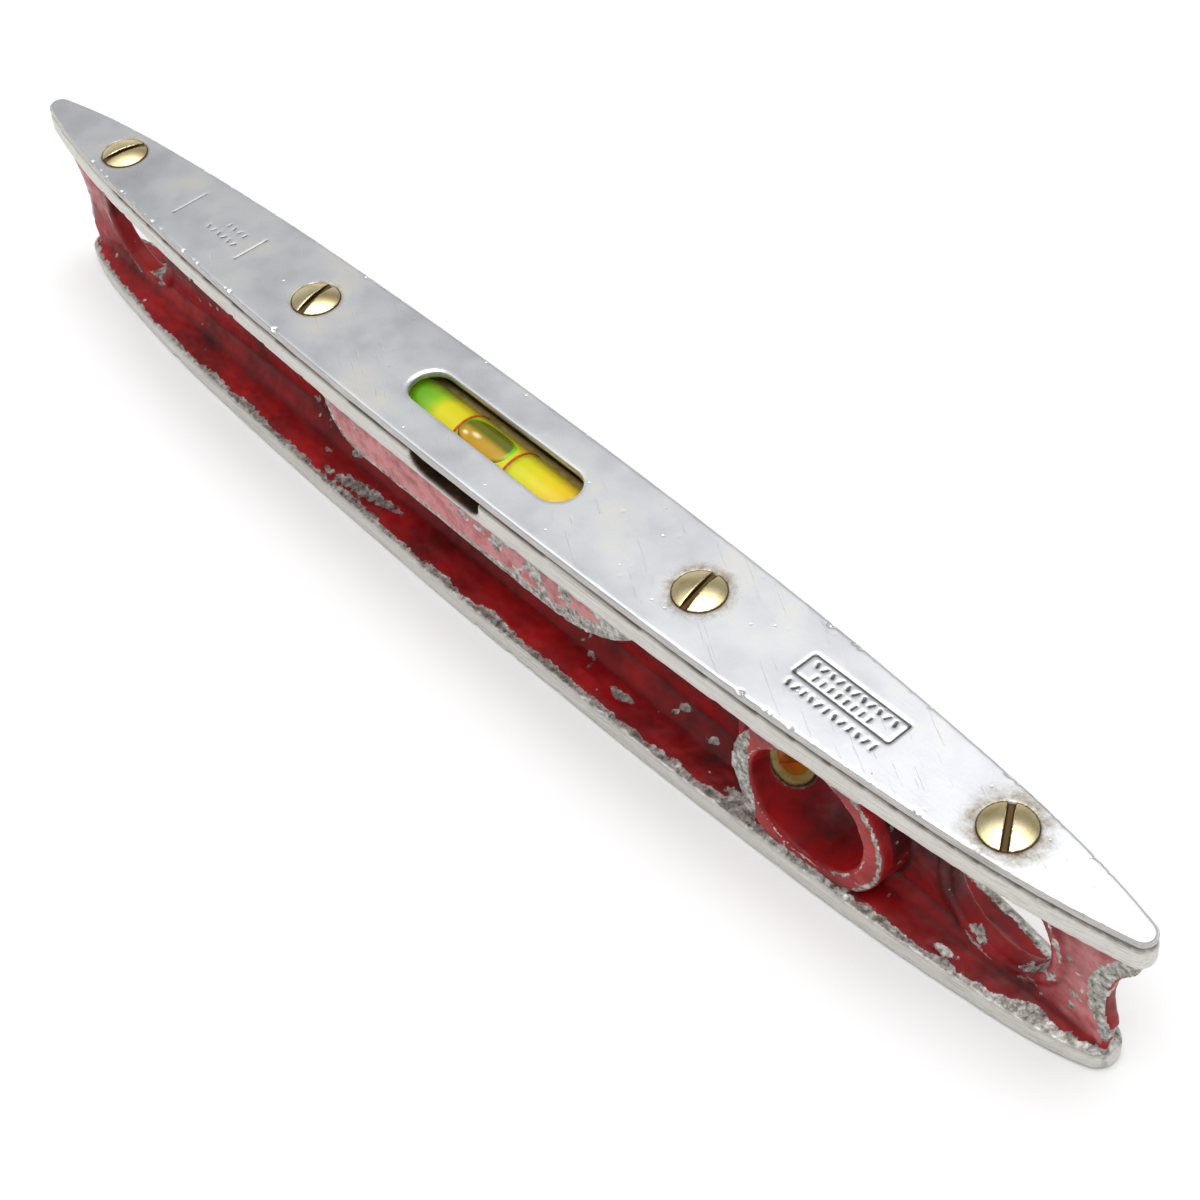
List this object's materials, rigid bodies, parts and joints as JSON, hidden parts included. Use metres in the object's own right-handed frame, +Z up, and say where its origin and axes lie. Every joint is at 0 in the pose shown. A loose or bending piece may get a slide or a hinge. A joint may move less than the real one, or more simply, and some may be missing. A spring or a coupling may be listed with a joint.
{
  "type": "spirit level",
  "caption": "Boat-shaped pocket spirit level: painted cast I-section body, screwed top plate, level vial under a window and plumb vial in a cross bore.",
  "frame": {"origin": "centre of the base, on the surface the level stands on", "axes": "+X along the length towards the plumb vial, +Z up through the top plate, -Y the side that faces the viewer"},
  "size_m": [0.2286, 0.02, 0.0293],
  "materials": {
    "cast_body": "worn crimson paint on cast aluminium, machined edges bare",
    "plate": "satin machined",
    "screw_brass": "polished, darkened at the rim",
    "vial_glass": "clear",
    "level_liquid": "yellow-green spirit",
    "plumb_liquid": "aged amber spirit",
    "bubble": "air",
    "line_paint": "fired enamel line",
    "bedding": "set plaster, stained brown"
  },
  "bodies": {
    "level_body": {"body_casting": "cast_body", "top_plate": "plate", "plate_screw_1": "screw_brass", "plate_screw_2": "screw_brass", "plate_screw_3": "screw_brass", "plate_screw_4": "screw_brass", "level_vial_tube": "vial_glass", "level_vial_liquid": "level_liquid", "level_line_left": "line_paint", "level_line_right": "line_paint", "level_vial_bedding": "bedding", "plumb_vial_tube": "vial_glass", "plumb_vial_liquid": "plumb_liquid", "plumb_line_lower": "line_paint", "plumb_line_upper": "line_paint", "plumb_vial_bedding": "bedding"},
    "level_bubble_body": {"level_bubble": "bubble"},
    "plumb_bubble_body": {"plumb_bubble": "bubble"}
  },
  "joints": [
    {"name": "level_bubble_slide", "type": "slide", "parent": "level_body", "child": "level_bubble_body", "axis": [1, 0, 0], "range_m": [-0.0051, 0.0069], "stiffness_N_per_m": 1},
    {"name": "plumb_bubble_slide", "type": "slide", "parent": "level_body", "child": "plumb_bubble_body", "axis": [0, 0, 1], "range_m": [-0.0085, 0], "stiffness_N_per_m": 5}
  ]
}
